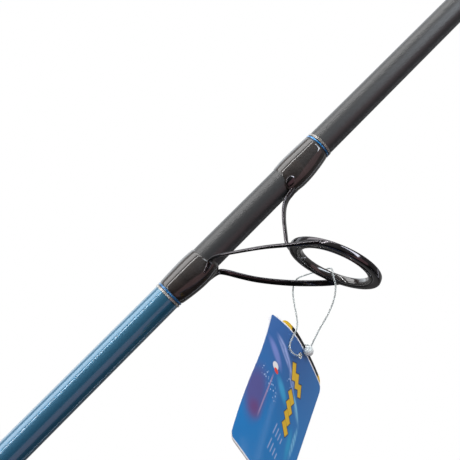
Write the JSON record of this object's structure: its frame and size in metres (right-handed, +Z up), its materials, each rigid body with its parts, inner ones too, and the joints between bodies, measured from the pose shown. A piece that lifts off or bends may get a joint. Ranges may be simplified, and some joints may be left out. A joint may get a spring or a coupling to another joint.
{
  "type": "fishing rod",
  "caption": "Take-apart spinning rod with tall leaning line guides, a threaded reel seat and foam grips; swing cards hang on a loop from its largest guide.",
  "frame": {"origin": "centre of the butt cap's flat end, on the rod's axis, where it seats in a rod holder", "axes": "the rod rises towards +X at 42 degrees in the XZ plane; guides are underneath; +Z up; Y across the rod"},
  "size_m": [1.2625, 0.0718, 1.1323],
  "materials": {
    "blank_lacquer": "lacquered carbon composite, satin grey above the stripper guide and blue gloss below it",
    "butt_rubber": "matt moulded rubber",
    "grip_foam": "fine closed-cell foam",
    "anodised_metal": "blue anodised, satin",
    "seat_plastic": "glass-filled nylon, semi-gloss",
    "guide_metal": "polished dark chrome",
    "guide_ceramic": "polished dark ceramic",
    "silver_thread": "metallic thread under epoxy",
    "blue_thread": "metallic thread under epoxy",
    "wrap_epoxy": "black thread under glossy epoxy",
    "clear_nylon": "translucent nylon",
    "front_card_print": "laminated printed card, blue",
    "back_card_print": "laminated printed card, black and yellow"
  },
  "bodies": {
    "butt_section": {"butt_blank": "blank_lacquer", "butt_cap": "butt_rubber", "rear_grip": "grip_foam", "rear_check": "anodised_metal", "reel_seat_body": "seat_plastic", "fixed_hood": "anodised_metal", "foregrip": "grip_foam", "fore_check": "anodised_metal", "hook_keeper": "guide_metal", "keeper_rear_wrap": "wrap_epoxy", "keeper_front_wrap": "wrap_epoxy", "stripper_guide_frame": "guide_metal", "stripper_guide_ring": "guide_ceramic", "stripper_rear_wrap": "wrap_epoxy", "stripper_front_wrap": "wrap_epoxy", "rear_silver_band": "silver_thread", "rear_blue_band": "blue_thread", "front_blue_band": "blue_thread", "front_silver_band": "silver_thread"},
    "tip_section": {"tip_blank": "blank_lacquer", "ferrule_wrap": "wrap_epoxy", "second_guide_frame": "guide_metal", "second_guide_ring": "guide_ceramic", "second_guide_wrap": "wrap_epoxy", "second_guide_front_wrap": "wrap_epoxy", "third_guide_frame": "guide_metal", "third_guide_ring": "guide_ceramic", "third_guide_wrap": "wrap_epoxy", "fourth_guide_frame": "guide_metal", "fourth_guide_ring": "guide_ceramic", "fourth_guide_wrap": "wrap_epoxy", "fifth_guide_frame": "guide_metal", "fifth_guide_ring": "guide_ceramic", "fifth_guide_wrap": "wrap_epoxy", "sixth_guide_frame": "guide_metal", "sixth_guide_ring": "guide_ceramic", "sixth_guide_wrap": "wrap_epoxy", "tip_top_frame": "guide_metal", "tip_top_ring": "guide_ceramic", "tip_top_wrap": "wrap_epoxy"},
    "hood": {"sliding_hood": "anodised_metal"},
    "nut": {"lock_nut": "anodised_metal"},
    "tag": {"tag_cord": "clear_nylon", "loop_bead": "clear_nylon", "front_card": "front_card_print"},
    "rear_card": {"back_card": "back_card_print"}
  },
  "joints": [
    {"name": "ferrule_slide", "type": "slide", "parent": "butt_section", "child": "tip_section", "axis": [0.7431, 0, 0.6691], "range_m": [0, 0.09]},
    {"name": "hood_slide", "type": "slide", "parent": "butt_section", "child": "hood", "axis": [0.7431, 0, 0.6691], "range_m": [0, 0.028]},
    {"name": "nut_turn", "type": "hinge", "parent": "hood", "child": "nut", "pos_m": [0.2705, 0, 0.24356], "axis": [0.7431, 0, 0.6691], "range_deg": [0, 5040]},
    {"name": "tag_swing", "type": "hinge", "parent": "butt_section", "child": "tag", "pos_m": [0.68763, 0.0196, 0.57042], "axis": [0.9733, -0.2104, 0.092], "range_deg": [-8, 8]},
    {"name": "rear_card_flap", "type": "hinge", "parent": "tag", "child": "rear_card", "pos_m": [0.68027, 0.02348, 0.5369], "axis": [0.2124, 0.8639, -0.4567], "range_deg": [0, 10]}
  ],
  "couplings": [
    {"joint": "hood_slide", "follows": "nut_turn", "m_per_rad": 0.0003183}
  ]
}
